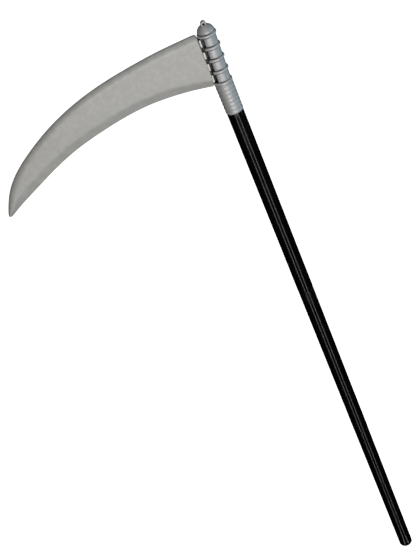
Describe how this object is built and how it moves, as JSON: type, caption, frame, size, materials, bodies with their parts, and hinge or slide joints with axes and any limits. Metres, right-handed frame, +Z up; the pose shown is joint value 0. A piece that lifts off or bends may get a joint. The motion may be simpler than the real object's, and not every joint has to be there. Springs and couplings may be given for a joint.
{
  "type": "toy scythe",
  "caption": "Costume scythe: hollow curved plastic blade plugged into a ringed head with a hanging eyelet, on a push-fit sectional tube handle.",
  "frame": {"origin": "centre of the flat end of the handle's butt", "axes": "+Z up along the handle to the head, blade towards -X, flat sides of the blade towards -Y and +Y"},
  "size_m": [0.3408, 0.0254, 1.0483],
  "materials": {
    "blade_silver": "satin silver-grey paint on moulded plastic",
    "plug_silver": "satin silver-grey paint on moulded plastic",
    "head_silver": "silver-grey, half gloss",
    "tube_black": "gloss black",
    "coupler_black": "matte black",
    "cap_black": "satin black"
  },
  "bodies": {
    "lower_handle": {"lower_tube": "tube_black", "lower_coupler": "coupler_black", "butt_cap": "cap_black"},
    "middle_handle": {"middle_tube": "tube_black", "upper_coupler": "coupler_black"},
    "upper_handle": {"upper_tube": "tube_black"},
    "head": {"head_front_shell": "head_silver", "head_rear_shell": "head_silver"},
    "blade": {"blade_front_shell": "blade_silver", "blade_rear_shell": "blade_silver", "blade_root_plug": "plug_silver"}
  },
  "joints": [
    {"name": "middle_pull", "type": "slide", "parent": "lower_handle", "child": "middle_handle", "axis": [0, 0, 1], "range_m": [0, 0.045]},
    {"name": "upper_pull", "type": "slide", "parent": "middle_handle", "child": "upper_handle", "axis": [0, 0, 1], "range_m": [0, 0.045]},
    {"name": "head_pull", "type": "slide", "parent": "upper_handle", "child": "head", "axis": [0, 0, 1], "range_m": [0, 0.048]},
    {"name": "blade_pull", "type": "slide", "parent": "head", "child": "blade", "axis": [-0.9993, 0, 0.0384], "range_m": [0, 0.014]}
  ]
}
